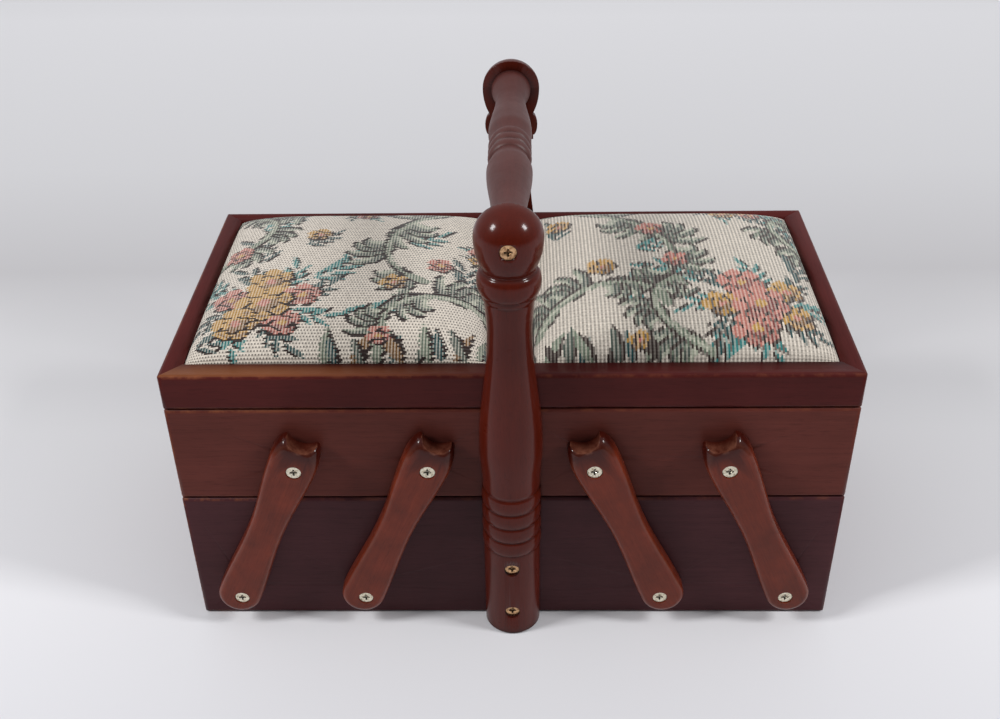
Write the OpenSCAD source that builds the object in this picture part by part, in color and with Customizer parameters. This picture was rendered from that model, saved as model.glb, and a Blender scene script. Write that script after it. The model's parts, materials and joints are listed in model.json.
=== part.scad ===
// Wooden cantilever sewing box: a base, two swinging trays with padded lids,
// and a fixed carrying handle of two split-turned posts and a turned rod.
// The origin is under the middle of the base, X runs along the box, Y to its back and Z up.

/* [Box] */
// Length of the closed box
body_w = 350; // [310:5:400]
// Depth of the base
body_d = 177; // [160:1:200]
// Height of the base
base_h = 84; // [76:1:96]
// Height of each tray
tray_h = 57.4; // [52:0.2:66]
// Height of each lid frame
lid_h = 20.4; // [17:0.2:26]
// Thickness of the wooden walls
wall = 8; // [7:0.5:10]
// Thickness of the plywood bottoms
bottom_t = 4; // [3:0.5:5]
// How far a bottom or a joint reaches into a wall
rebate = 4; // [3:0.5:5]
// Rounding of the long edges
edge_r = 2.2; // [1:0.1:3]
// Rounding of the upright corners
corner_r = 3; // [1:0.5:4]
// Open seam between the base, a tray and a lid
seam = 0.3; // [0.2:0.1:0.8]
// How far the trays and lids stand back from the faces of the base
set_back = 0.5; // [0.4:0.1:1]

/* [Lids] */
// Width of the lid rails round the padding
rail_w = 11; // [9:0.5:15]
// Thickness of the board under the padding
board_t = 3.2; // [2.5:0.1:4]
// Height of the crown of the padding above the rails
crown_h = 15; // [8:1:20]
// Gap round the padding
pad_gap = 0.3; // [0.2:0.1:0.6]
// Sharpness of the shoulder of the padding
pad_shoulder = 3; // [2:0.5:5]

/* [Arms] */
// Distance of the outer lower pivots from the middle of the box
outer_pivot_x = 148.6; // [140:0.2:155]
// Distance of the inner lower pivots from the middle of the box
inner_pivot_x = 80.4; // [76:0.2:95]
// Height of the lower pivots
pivot_z = 22; // [18:0.5:30]
// Height of the upper pivots above the foot of a tray
tray_pivot_h = 26; // [22:0.5:30]
// How far an arm leans inwards between its pivots when the box is closed
arm_run = 38; // [30:0.5:44]
// Thickness of an arm
arm_t = 10; // [8:0.5:12]
// Width of an arm at its lower end
arm_low_w = 23.2; // [20:0.2:26]
// Width of an arm at its waist
arm_waist_w = 18.6; // [16:0.2:20]
// Width of an arm at its upper end
arm_high_w = 25; // [22:0.2:27]
// How far an arm reaches past its upper pivot
arm_reach = 24.5; // [21:0.5:25]
// Radius of the hollow in the upper end of an arm
hollow_r = 8.2; // [6:0.2:9]
// Round-over of the front edges of an arm
arm_round = 3.6; // [2:0.2:4]
// How far the arm stands outwards of the line between its screws
arm_shift = 1.7; // [0:0.1:2.5]
// Thickness of the washer between an arm and the base
washer_t = 1; // [0.8:0.1:2]
// Radius of the washers
washer_r = 6; // [5:0.5:8]

/* [Handle] */
// Radius of the foot of a post
post_r = 15; // [13:0.5:17]
// How far the middle of the turning stands in front of the base
post_out = 1.5; // [0.5:0.1:3]
// Height of the lowest turned bead on a post
bead_z = 57; // [54:0.5:64]
// Height of one bead on a post
bead_pitch = 9.5; // [8:0.5:10]
// Number of beads on a post
bead_count = 4; // [2:1:4]
// Depth of the grooves between beads
groove = 1.3; // [0.8:0.1:2]
// Radius of the belly of a post
belly_r = 16.2; // [15:0.1:17.5]
// Radius of the neck of a post
neck_r = 10.9; // [9.5:0.1:12]
// Radius of the collar under the ball
collar_r = 15.3; // [14:0.1:17]
// Radius of the ball
ball_r = 16.3; // [15:0.1:18]
// Height of the rod above the rails of the lids
grip_h = 78; // [70:1:95]
// Radius of the rod at its two swellings
rod_r = 11.6; // [10:0.1:13]
// Radius of the rod at its two necks
rod_neck_r = 8.3; // [7:0.1:9.5]
// Number of beads round the middle of the rod
rod_beads = 3; // [2:1:4]
// Width of one bead on the rod
rod_bead_w = 7.5; // [5:0.5:8]
// Depth of the grooves between the beads of the rod
rod_groove = 1.7; // [1:0.1:2]
// Height of the lower post screw
post_screw_low = 16.5; // [12:0.5:22]
// Height of the upper post screw
post_screw_high = 47.5; // [40:0.5:50]

/* [Fasteners] */
// Radius of a screw head
head_r = 3.8; // [3.4:0.1:4.2]
// Radius of a screw shank
shank_r = 2; // [1.6:0.1:2.2]
// Radius of the screwed tip
tip_r = 1.7; // [1.4:0.1:1.9]
// How deep a screw is driven into the walls
bite = 6.5; // [5:0.5:6.5]
// How far the heads in the arms lie below the wood
arm_sink = 0.7; // [0.3:0.1:1.5]
// How far the heads in the feet of the posts lie below the wood
post_sink = 3.5; // [2:0.5:5]
// How far the heads in the balls lie below the wood
ball_sink = 1.2; // [0.8:0.1:2]
// Running clearance round a shank
fit = 0.08; // [0.05:0.01:0.1]

/* [Hinges] */
// Length of a hinge
hinge_l = 32; // [24:1:40]
// Height of a hinge leaf
leaf_h = 13; // [10:0.5:14]
// Thickness of a hinge leaf
leaf_t = 1.1; // [0.8:0.1:1.4]
// Radius of the hinge knuckle
knuckle_r = 2; // [1.8:0.1:2.4]
// Radius of the hinge pin
pin_r = 1; // [0.8:0.1:1.2]
// Distance between the two hinges of a lid
hinge_span = 104; // [80:2:110]

/* [Hidden] */
$fn = 48;

wood = "#4a1f1b";
wood_light = "#6a3020";
plywood = "#9a7a54";
steel = "#b9b39d";
brass = "#b08d4a";
cloth = "#cfc8b4";

half_w = body_w / 2;
half_d = body_d / 2;
middle_gap = seam;                          // each tray starts this far from the middle
tray_z = base_h + seam;
lid_z = tray_z + tray_h + seam;
lid_top = lid_z + lid_h;
tray_half_d = half_d - set_back;
pivot_rise = tray_z + tray_pivot_h - pivot_z;
arm_len = sqrt(pow(arm_run, 2) + pow(pivot_rise, 2));
arm_lean = atan2(arm_run, pivot_rise);
arm_back = half_d + washer_t;               // the back face of every arm
arm_face = arm_back + arm_t;
rod_z = lid_top + grip_h;
axis_y = half_d + post_out;                 // the middle of the turned posts
hinge_x = half_w + knuckle_r;
hinge_z = lid_z - seam / 2;
pad_z = lid_z + board_t;
head_t = head_r - shank_r;                  // a head with a right-angled cone
head_rim = 0.3;                             // the thin straight edge of a head
head_gap = 0.25;                            // room round a head
cross_w = 0.9;                              // width of the two slots of a cross head
cross_reach = 0.52 * head_r;                // how far the slots run from the middle
cross_depth = 1.1;
point_r = 0.3;                              // the blunt point of a screw
pilot_gap = 0.05;                           // room round a screw tip in the wood
pilot_end = 0.3;                            // room past its point
cut = 1;                                    // how far a cut runs past a face

function ease(a, b, t) = a + (b - a) * (1 - cos(180 * t)) / 2;
function eased(z0, r0, z1, r1, n) =
    [for (i = [1:n]) [ease(r0, r1, i / n), z0 + (z1 - z0) * i / n]];
function bead(z0, h, low, tall, n) =
    [for (i = [1:n]) [low + tall * sin(180 * i / n), z0 + h * (1 - cos(180 * i / n)) / 2]];
function flat(lists) = [for (l = lists) for (p = l) p];

// A rectangle with round corners, made of true arcs
module round_rect(w, h, r) {
    translate([r, 0]) square([w - 2 * r, h]);
    translate([0, r]) square([w, h - 2 * r]);
    for (x = [r, w - r], y = [r, h - r]) translate([x, y]) circle(r);
}

// The outside of one tier, rounded along every edge
module tier(x0, x1, y, z0, z1) {
    w = x1 - x0;
    h = z1 - z0;
    intersection() {
        translate([x0, -y, z0]) linear_extrude(h) round_rect(w, 2 * y, corner_r);
        translate([x0, y, z0]) rotate([90, 0, 0]) linear_extrude(2 * y) round_rect(w, h, edge_r);
        translate([x0, -y, z0]) rotate([90, 0, 90]) linear_extrude(w) round_rect(2 * y, h, edge_r);
    }
}

// The bottom board of a tier, let into its walls
module bottom_board(x0, x1, y, z0, t) {
    inset = wall - rebate;
    translate([x0 + inset, -y + inset, z0]) cube([x1 - x0 - 2 * inset, 2 * (y - inset), t]);
}

// An end wall of a tier, whose tongues reach into the long walls
module end_wall(x0, x1, y, z0, z1, at_high, t) {
    from = at_high ? x1 - wall : x0;
    reach = y - (wall - rebate);
    difference() {
        intersection() {
            tier(x0, x1, y, z0, z1);
            translate([from, -reach, z0]) cube([wall, 2 * reach, z1 - z0]);
        }
        bottom_board(x0, x1, y, z0, t);
    }
}

// The front wall of a tier
module long_wall(x0, x1, y, z0, z1, t) {
    difference() {
        intersection() {
            tier(x0, x1, y, z0, z1);
            translate([x0, -y, z0]) cube([x1 - x0, wall, z1 - z0]);
        }
        bottom_board(x0, x1, y, z0, t);
        for (x = [x0 - cut, x1 - wall]) translate([x, -y + wall - rebate, z0 - cut])
            cube([wall + cut, wall, z1 - z0 + 2 * cut]);
    }
}

// A pilot hole for a screw, entering along +Y at the face y
module pilot(x, y, z) {
    translate([x, -y - cut, z]) rotate([-90, 0, 0])
        cylinder(h = cut + bite + pilot_end, r = tip_r + pilot_gap);
}

// A countersunk wood screw along +Z with the top of its head at the origin
module screw(length, driven) {
    neck = length - driven;
    difference() {
        rotate_extrude() polygon([[0, 0], [head_r, 0], [head_r, head_rim], [shank_r, head_rim + head_t],
            [shank_r, neck], [tip_r, neck], [tip_r, length - tip_r], [point_r, length], [0, length]]);
        for (a = [0, 90]) rotate(a) translate([-cross_reach, -cross_w / 2, -cut])
            cube([2 * cross_reach, cross_w, cut + cross_depth]);
    }
}

// The hole for a countersunk screw that clamps or carries a piece
module screw_hole(sink, through) {
    wide = head_r + head_gap;
    slim = shank_r + fit;
    rotate_extrude() polygon([[0, -through], [wide, -through], [wide, sink + head_rim],
        [slim, sink + head_rim + wide - slim], [slim, through], [0, through]]);
}

// The base: four walls, a bottom board and the holes for its screws
module base_wall_front() {
    difference() {
        long_wall(-half_w, half_w, half_d, 0, base_h, bottom_t);
        for (x = [outer_pivot_x, inner_pivot_x], s = [-1, 1]) pilot(s * x, half_d, pivot_z);
        for (z = [post_screw_low, post_screw_high]) pilot(0, half_d, z);
    }
}
module base_front_wall() {
    color(wood) base_wall_front();
}
module base_back_wall() {
    color(wood) mirror([0, 1, 0]) base_wall_front();
}
module base_left_end() {
    color(wood) end_wall(-half_w, half_w, half_d, 0, base_h, false, bottom_t);
}
module base_right_end() {
    color(wood) end_wall(-half_w, half_w, half_d, 0, base_h, true, bottom_t);
}
module base_bottom() {
    color(plywood) bottom_board(-half_w, half_w, half_d, 0, bottom_t);
}

// The handle: two split-turned posts, the rod between them and their screws
belly_z = tray_z + 0.66 * tray_h;
bead_top = bead_z + bead_count * bead_pitch;
neck_z = lid_top + 28;
collar_h = 12.5;
collar_z = rod_z - collar_h - 16;
collar_step = 2.6;                          // height of the fillets round the collar
under_ball_r = collar_r - collar_step;
ball_long = 24;                             // the ball is drawn out towards the collar
ball_start = acos(under_ball_r / ball_r);
foot_edge = 0.8;

function post_outline() = flat([
    [[0, 0], [post_r - foot_edge, 0], [post_r, foot_edge], [post_r, bead_z - foot_edge],
        [post_r - groove / 2, bead_z]],
    flat([for (i = [0:bead_count - 1])
        bead(bead_z + i * bead_pitch, bead_pitch, post_r - groove / 2, groove, 8)]),
    eased(bead_top, post_r - groove / 2, bead_top + 2 * groove, post_r, 4),
    eased(bead_top + 2 * groove, post_r, belly_z, belly_r, 10),
    eased(belly_z, belly_r, neck_z, neck_r, 18),
    eased(neck_z, neck_r, collar_z - collar_step, neck_r + 1, 6),
    [[neck_r + 2, collar_z - collar_step], [neck_r + 2, collar_z - foot_edge], [under_ball_r, collar_z]],
    bead(collar_z, collar_h, under_ball_r, collar_step, 10),
    [for (i = [0:9]) let (a = -ball_start * (1 - i / 10))
        [ball_r * cos(a), rod_z + ball_long * sin(a)]],
    [for (i = [0:12]) let (a = 90 * i / 12) [ball_r * cos(a), rod_z + ball_r * sin(a)]]
]);

// A split-turned post with its flat back against the front of the base
module post() {
    difference() {
        translate([0, -axis_y, 0]) rotate_extrude($fn = 96) polygon(post_outline());
        translate([-body_w / 2, -half_d, -cut]) cube([body_w, body_d, rod_z + 2 * ball_r]);
        for (z = [post_screw_low, post_screw_high]) translate([0, -axis_y - post_r, z])
            rotate([-90, 0, 0]) screw_hole(post_sink, 2 * post_r);
        translate([0, -axis_y - ball_r, rod_z]) rotate([-90, 0, 0]) rotate(30)
            screw_hole(ball_sink, 2 * ball_r);
    }
}
module front_post() {
    color(wood_light) post();
}
module back_post() {
    color(wood_light) mirror([0, 1, 0]) post();
}

rod_band = rod_beads * rod_bead_w / 2;      // half the beaded length
rod_end_r = rod_r - 0.4;
bead_crest = rod_r - 0.3;
bead_foot = bead_crest - rod_groove;

function rod_side() = concat(
    [[bead_foot, rod_band]],
    eased(rod_band, bead_foot, rod_band + 12, rod_r, 8),
    eased(rod_band + 12, rod_r, half_d - 18, rod_neck_r, 14),
    eased(half_d - 18, rod_neck_r, half_d - 1.2, rod_end_r, 8),
    [[rod_end_r, half_d]]
);
function rod_outline() = concat(
    [[0, -half_d]],
    [for (i = [len(rod_side()) - 1:-1:0]) [rod_side()[i][0], -rod_side()[i][1]]],
    flat([for (i = [0:rod_beads - 1])
        bead(-rod_band + i * rod_bead_w, rod_bead_w, bead_foot, rod_groove, 8)]),
    [for (i = [1:len(rod_side()) - 1]) rod_side()[i]],
    [[0, half_d]]
);
rod_bite = 24;                              // how deep the end screws go into the rod

module handle_rod() {
    color(wood_light) difference() {
        translate([0, 0, rod_z]) rotate([90, 0, 0]) rotate_extrude($fn = 96) polygon(rod_outline());
        for (m = [0, 1]) mirror([0, m, 0]) translate([0, -half_d - cut, rod_z]) rotate([-90, 0, 0])
            cylinder(h = cut + rod_bite + pilot_end, r = tip_r + pilot_gap);
    }
}
module post_screws() {
    depth = post_out + post_r - post_sink;
    color(brass) for (m = [0, 1], z = [post_screw_low, post_screw_high]) mirror([0, m, 0])
        translate([0, -half_d - depth, z]) rotate([-90, 0, 0]) screw(depth + bite, bite);
}
module rod_screws() {
    depth = post_out + ball_r - ball_sink;
    color(brass) for (m = [0, 1]) mirror([0, m, 0])
        translate([0, -half_d - depth, rod_z]) rotate([-90, 0, 0]) screw(depth + rod_bite, rod_bite);
}

// The washers behind the arms and the screws that the arms turn on
module washer(t) {
    rotate([90, 0, 0]) difference() {
        cylinder(h = t, r = washer_r);
        translate([0, 0, -cut]) cylinder(h = t + 2 * cut, r = shank_r + fit);
    }
}
module arm_screw(x, z, stand) {
    length = arm_t - arm_sink + stand + bite;
    translate([x, -arm_face + arm_sink, z]) rotate([-90, 0, 0]) screw(length, bite);
}
module base_washers() {
    color(steel) for (m = [0, 1], s = [-1, 1], x = [outer_pivot_x, inner_pivot_x])
        mirror([0, m, 0]) translate([s * x, -half_d, pivot_z]) washer(washer_t);
}
module base_arm_screws() {
    color(steel) for (m = [0, 1], s = [-1, 1], x = [outer_pivot_x, inner_pivot_x])
        mirror([0, m, 0]) arm_screw(s * x, pivot_z, washer_t);
}
module tray_washers() {
    color(steel) for (m = [0, 1], x = [outer_pivot_x, inner_pivot_x]) mirror([0, m, 0])
        translate([-x + arm_run, -tray_half_d, pivot_z + pivot_rise]) washer(washer_t + set_back);
}
module tray_arm_screws() {
    color(steel) for (m = [0, 1], x = [outer_pivot_x, inner_pivot_x]) mirror([0, m, 0])
        arm_screw(-x + arm_run, pivot_z + pivot_rise, washer_t + set_back);
}

// The trays, drawn on the left and mirrored for the right
tray_x0 = -half_w;
tray_x1 = -middle_gap;
tray_bottom_t = bottom_t - 1;

module tray_front() {
    color(wood) difference() {
        long_wall(tray_x0, tray_x1, tray_half_d, tray_z, tray_z + tray_h, tray_bottom_t);
        for (x = [outer_pivot_x, inner_pivot_x])
            pilot(-x + arm_run, tray_half_d, pivot_z + pivot_rise);
    }
}
module tray_back() {
    mirror([0, 1, 0]) tray_front();
}
module tray_end(inner) {
    color(wood)
        end_wall(tray_x0, tray_x1, tray_half_d, tray_z, tray_z + tray_h, inner, tray_bottom_t);
}
module tray_bottom() {
    color(plywood) bottom_board(tray_x0, tray_x1, tray_half_d, tray_z, tray_bottom_t);
}

// The lids: a mitred frame, a board and a padding on top of it
module lid_opening(grow, z0, h) {
    translate([tray_x0 + rail_w - grow, -tray_half_d + rail_w - grow, z0])
        cube([tray_x1 - tray_x0 - 2 * (rail_w - grow), 2 * (tray_half_d - rail_w + grow), h]);
}
// The whole mitred frame, with the opening for the padding and the rebate for the board
module lid_frame() {
    difference() {
        tier(tray_x0, tray_x1, tray_half_d, lid_z, lid_top);
        lid_opening(0, lid_z - cut, lid_h + 2 * cut);
        lid_opening(rebate, lid_z - cut, board_t + cut);
    }
}
// One mitred quarter: 0 is the front rail, 1 the inner, 2 the back and 3 the outer
module lid_rail(quarter) {
    w = tray_x1 - tray_x0;
    m = tray_half_d;
    inset = w / 2;
    corners = [[tray_x0, -m], [tray_x1, -m], [tray_x1, m], [tray_x0, m]];
    inner = [[tray_x0 + inset, -m + inset], [tray_x1 - inset, -m + inset],
        [tray_x1 - inset, m - inset], [tray_x0 + inset, m - inset]];
    a = quarter;
    b = (quarter + 1) % 4;
    color(wood) intersection() {
        lid_frame();
        translate([0, 0, lid_z - cut]) linear_extrude(lid_h + 2 * cut)
            polygon([corners[a], corners[b], inner[b], inner[a]]);
    }
}
module lid_board() {
    color(plywood) lid_opening(rebate, lid_z, board_t);
}

pad_steps = 22;
pad_x0 = tray_x0 + rail_w + pad_gap;
pad_x1 = tray_x1 - rail_w - pad_gap;
pad_half_d = tray_half_d - rail_w - pad_gap;
pad_tuck = 1.5;                             // the cloth bends down this far below the rails
pad_side = lid_top - pad_z - pad_tuck;      // the sides stand this high before they swell
pad_round = 0.45;                           // below 1, and lower is fuller

function pad_bulge(s) = pow(max(0, 1 - pow(abs(s), pad_shoulder)), pad_round);
function pad_place(k) = sin(90 * (2 * k / pad_steps - 1));
function pad_point(i, j) = let (s = pad_place(i), t = pad_place(j)) [
    (pad_x0 + pad_x1) / 2 + s * (pad_x1 - pad_x0) / 2,
    t * pad_half_d,
    pad_z + pad_side + (crown_h + pad_tuck) * pad_bulge(s) * pad_bulge(t)
];
// Triangles from one corner of the bottom to a row of points on the top edge
function fan(corner, row) = [for (i = [0:len(row) - 2]) [row[i], row[i + 1], corner]];
module lid_padding() {
    n = pad_steps + 1;
    last = n * pad_steps;
    top = [for (j = [0:pad_steps], i = [0:pad_steps]) pad_point(i, j)];
    corners = [[pad_x0, -pad_half_d, pad_z], [pad_x1, -pad_half_d, pad_z],
        [pad_x1, pad_half_d, pad_z], [pad_x0, pad_half_d, pad_z]];
    c = n * n;
    color(cloth) polyhedron(
        points = concat(top, corners),
        faces = concat(
            [for (j = [0:pad_steps - 1], i = [0:pad_steps - 1]) let (p = j * n + i)
                each [[p, p + n, p + n + 1], [p, p + n + 1, p + 1]]],
            fan(c + 1, [for (i = [0:pad_steps]) i]),
            fan(c + 2, [for (j = [0:pad_steps]) j * n + pad_steps]),
            fan(c + 3, [for (i = [pad_steps:-1:0]) last + i]),
            fan(c, [for (j = [pad_steps:-1:0]) j * n]),
            [[0, c + 1, c], [pad_steps, c + 2, c + 1], [last + pad_steps, c + 3, c + 2], [last, c, c + 3]],
            [[c, c + 1, c + 2], [c, c + 2, c + 3]]
        )
    );
}

// The hinges on the outer ends, with their pins along Y
knuckles = 5;
knuckle_gap = 0.3;
leaf_gap = 0.4;                             // between a leaf and the knuckles of the other one
leaf_fold = 1.5;                            // how far a leaf runs over the root of its knuckles
leaf_screw_r = 1.3;
leaf_head_r = 2.1;
leaf_head_t = 0.5;
leaf_screw_y = 0.3 * hinge_l;
leaf_screw_z = -0.6 * leaf_h;

module knuckle_row(first) {
    pitch = hinge_l / knuckles;
    for (k = [first:2:knuckles - 1])
        translate([0, -hinge_l / 2 + k * pitch + knuckle_gap / 2, 0]) rotate([-90, 0, 0])
            difference() {
                union() {
                    cylinder(h = pitch - knuckle_gap, r = knuckle_r, $fn = 24);
                    translate([knuckle_r - leaf_t, 0, 0])
                        cube([leaf_t, knuckle_r + leaf_fold, pitch - knuckle_gap]);
                }
                translate([0, 0, -cut]) cylinder(h = pitch + 2 * cut, r = pin_r + fit, $fn = 24);
            }
}
// A leaf that hangs below the pin, with its holes
module leaf(first) {
    difference() {
        union() {
            knuckle_row(first);
            translate([knuckle_r - leaf_t, -hinge_l / 2, -leaf_h])
                cube([leaf_t, hinge_l, leaf_h - knuckle_r - leaf_gap]);
        }
        for (s = [-1, 1]) translate([knuckle_r - leaf_t - cut, s * leaf_screw_y, leaf_screw_z])
            rotate([0, 90, 0]) cylinder(h = leaf_t + 2 * cut, r = leaf_screw_r + fit, $fn = 24);
    }
}
module hinge_screw_pair() {
    for (s = [-1, 1]) translate([knuckle_r - leaf_t - leaf_head_t, s * leaf_screw_y, leaf_screw_z])
        rotate([0, 90, 0]) {
            cylinder(h = leaf_head_t, r = leaf_head_r, $fn = 24);
            cylinder(h = leaf_head_t + leaf_t, r = leaf_screw_r, $fn = 24);
        }
}
module at_hinges() {
    for (s = [-1, 1]) translate([-hinge_x, s * hinge_span / 2, hinge_z]) children();
}
module tray_hinge_leaves() {
    color(brass) at_hinges() leaf(0);
}
module lid_hinge_leaves() {
    color(brass) at_hinges() mirror([0, 0, 1]) leaf(1);
}
module hinge_pins() {
    color(brass) at_hinges() rotate([90, 0, 0])
        cylinder(h = hinge_l + 2 * knuckle_gap, r = pin_r, center = true, $fn = 24);
}
module tray_hinge_screws() {
    color(brass) at_hinges() hinge_screw_pair();
}
module lid_hinge_screws() {
    color(brass) at_hinges() mirror([0, 0, 1]) hinge_screw_pair();
}

// The arms, drawn upright on their lower pivot
arm_end = arm_len + arm_reach;
low_r = arm_low_w / 2;
high_r = arm_high_w / 2;
horn_v = hollow_r - 0.2;                    // the horns stand this far from the middle line
hollow_d = 0.8 * hollow_r;                  // depth of the hollow
shoulder = 17;                              // length of the curve from the side to a horn
side_top = arm_end - shoulder;
side_steps = 8;

function half_width(u) = u < side_top / 2
    ? ease(low_r, arm_waist_w / 2, u / (side_top / 2))
    : ease(arm_waist_w / 2, high_r, u / (side_top / 2) - 1);
// One side of the outline as [across, along], from the foot to the middle of the hollow
function arm_side() = concat(
    [for (i = [0:5]) let (a = -90 + 15 * i) [low_r * cos(a), low_r * sin(a)]],
    [for (i = [0:side_steps]) let (u = side_top * i / side_steps) [half_width(u), u]],
    [for (i = [1:5]) let (a = 84 * i / 5)
        [horn_v + (high_r - horn_v) * cos(a), side_top + shoulder * sin(a)]],
    [for (i = [0:3]) let (a = 4 + 86 * i / 4)
        [(horn_v + 0.1) * cos(a), arm_end - hollow_d * sin(a)]]
);
function arm_outline() = let (side = arm_side()) concat(
    side,
    [[0, arm_end - hollow_d]],
    [for (i = [len(side) - 1:-1:1]) [-side[i][0], side[i][1]]]
);
back_edge = 0.8;                            // the small chamfer at the back of an arm
spare = 0.3;                                // the rings run past both faces, which are cut flat
// Each ring of the arm as [distance from the back, inset]
arm_rings = [
    [-spare, back_edge + spare], [back_edge, 0], [arm_t - arm_round, 0],
    [arm_t - arm_round * (1 - sin(35)), arm_round * (1 - cos(35))],
    [arm_t - arm_round * (1 - sin(65)), arm_round * (1 - cos(65))],
    [arm_t + spare, arm_round + spare]
];
core_top = arm_end - shoulder + 3;
// Moves an outline point towards the middle line of the arm
function inset_point(p, d) =
    let (s = [0, min(max(p[1], 0), core_top)], v = s - p) p + v * d / norm(v);

// The rounded arm, a little too thick, with its lower pivot at the origin
module arm_blank() {
    outline = arm_outline();
    n = len(outline);
    rings = len(arm_rings);
    polyhedron(
        points = [for (ring = arm_rings) for (p = outline) let (q = inset_point(p, ring[1]))
            [q[0] - arm_shift, -ring[0], q[1]]],
        faces = concat(
            [for (k = [0:rings - 2], i = [0:n - 1])
                let (j = (i + 1) % n, a = k * n + i, b = k * n + j)
                each [[a, b, b + n], [a, b + n, a + n]]],
            [[for (i = [n - 1:-1:0]) i]],
            [[for (i = [0:n - 1]) (rings - 1) * n + i]]
        )
    );
}
module arm() {
    color(wood_light) difference() {
        intersection() {
            arm_blank();
            translate([-arm_len, -arm_t, -arm_len]) cube([2 * arm_len, arm_t, 3 * arm_len]);
        }
        for (z = [0, arm_len]) translate([0, -arm_t, z]) rotate([-90, 0, 0])
            screw_hole(arm_sink, arm_t + cut);
    }
}
// sx and sy are -1 for the left and the front, and 1 for the right and the back
module arm_at(sx, x, sy) {
    mirror([sx > 0 ? 1 : 0, 0, 0]) mirror([0, sy > 0 ? 1 : 0, 0])
        translate([-x, -arm_back, pivot_z]) rotate([0, arm_lean, 0]) arm();
}
module to_right() {
    mirror([1, 0, 0]) children();
}

base_front_wall();
base_back_wall();
base_left_end();
base_right_end();
base_bottom();
front_post();
back_post();
handle_rod();
post_screws();
rod_screws();
base_washers();
base_arm_screws();
tray_front();  // left_tray_front
tray_back();  // left_tray_back
tray_end(false);  // left_tray_outer_end
tray_end(true);  // left_tray_inner_end
tray_bottom();  // left_tray_bottom
tray_washers();  // left_tray_washers
tray_arm_screws();  // left_tray_arm_screws
to_right() tray_front();  // right_tray_front
to_right() tray_back();  // right_tray_back
to_right() tray_end(false);  // right_tray_outer_end
to_right() tray_end(true);  // right_tray_inner_end
to_right() tray_bottom();  // right_tray_bottom
to_right() tray_washers();  // right_tray_washers
to_right() tray_arm_screws();  // right_tray_arm_screws
lid_rail(0);  // left_lid_front_rail
lid_rail(1);  // left_lid_inner_rail
lid_rail(2);  // left_lid_back_rail
lid_rail(3);  // left_lid_outer_rail
lid_board();  // left_lid_board
lid_padding();  // left_lid_padding
to_right() lid_rail(0);  // right_lid_front_rail
to_right() lid_rail(1);  // right_lid_inner_rail
to_right() lid_rail(2);  // right_lid_back_rail
to_right() lid_rail(3);  // right_lid_outer_rail
to_right() lid_board();  // right_lid_board
to_right() lid_padding();  // right_lid_padding
tray_hinge_leaves();  // left_tray_hinge_leaves
lid_hinge_leaves();  // left_lid_hinge_leaves
hinge_pins();  // left_hinge_pins
tray_hinge_screws();  // left_tray_hinge_screws
lid_hinge_screws();  // left_lid_hinge_screws
to_right() tray_hinge_leaves();  // right_tray_hinge_leaves
to_right() lid_hinge_leaves();  // right_lid_hinge_leaves
to_right() hinge_pins();  // right_hinge_pins
to_right() tray_hinge_screws();  // right_tray_hinge_screws
to_right() lid_hinge_screws();  // right_lid_hinge_screws
arm_at(-1, outer_pivot_x, -1);  // left_outer_front_arm
arm_at(-1, inner_pivot_x, -1);  // left_inner_front_arm
arm_at(-1, outer_pivot_x, 1);  // left_outer_back_arm
arm_at(-1, inner_pivot_x, 1);  // left_inner_back_arm
arm_at(1, outer_pivot_x, -1);  // right_outer_front_arm
arm_at(1, inner_pivot_x, -1);  // right_inner_front_arm
arm_at(1, outer_pivot_x, 1);  // right_outer_back_arm
arm_at(1, inner_pivot_x, 1);  // right_inner_back_arm
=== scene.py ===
# %% [markdown]
# This lesson dresses a wooden sewing carrier. The pieces arrive already cut to size from the
# frame, so the work here is finish: stained and lacquered wood, plated screws, and two lids
# padded with woven tapestry. First come the tools that every later cell uses.

# %% Tools
import json
import math

import bmesh
import bpy
import numpy as np
from mathutils import Matrix, Vector


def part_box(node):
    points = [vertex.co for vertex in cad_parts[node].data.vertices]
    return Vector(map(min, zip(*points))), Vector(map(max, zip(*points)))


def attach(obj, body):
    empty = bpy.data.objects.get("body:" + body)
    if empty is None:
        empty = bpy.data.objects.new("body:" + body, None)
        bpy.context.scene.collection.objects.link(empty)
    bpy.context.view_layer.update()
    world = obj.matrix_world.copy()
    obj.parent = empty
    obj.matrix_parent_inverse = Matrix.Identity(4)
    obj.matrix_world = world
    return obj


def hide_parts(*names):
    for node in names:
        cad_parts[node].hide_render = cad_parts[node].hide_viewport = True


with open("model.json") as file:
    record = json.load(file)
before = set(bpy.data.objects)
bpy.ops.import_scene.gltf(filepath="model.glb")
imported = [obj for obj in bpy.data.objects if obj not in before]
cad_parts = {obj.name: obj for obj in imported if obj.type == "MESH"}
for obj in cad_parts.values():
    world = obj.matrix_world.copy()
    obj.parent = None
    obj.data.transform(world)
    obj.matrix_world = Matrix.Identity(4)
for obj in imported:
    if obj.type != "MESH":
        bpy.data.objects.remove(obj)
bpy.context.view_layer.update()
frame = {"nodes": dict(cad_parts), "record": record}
nodes = frame["nodes"]
MM = 0.001


def put(name, data):
    """A new object in the scene."""
    made = bpy.data.objects.new(name, data)
    bpy.context.scene.collection.objects.link(made)
    return made


def evaluated(holder):
    return holder.evaluated_get(bpy.context.evaluated_depsgraph_get())


def settled(holder):
    """The mesh of an object after its modifiers."""
    bpy.context.view_layer.update()
    return bpy.data.meshes.new_from_object(evaluated(holder))


def tint(code):
    """A linear colour from an sRGB hex value."""
    parts = [int(code[i : i + 2], 16) / 255 for i in (1, 3, 5)]
    return tuple(c / 12.92 if c <= 0.04045 else ((c + 0.055) / 1.055) ** 2.4 for c in parts)


def rgba(code):
    return (*tint(code), 1.0)


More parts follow.
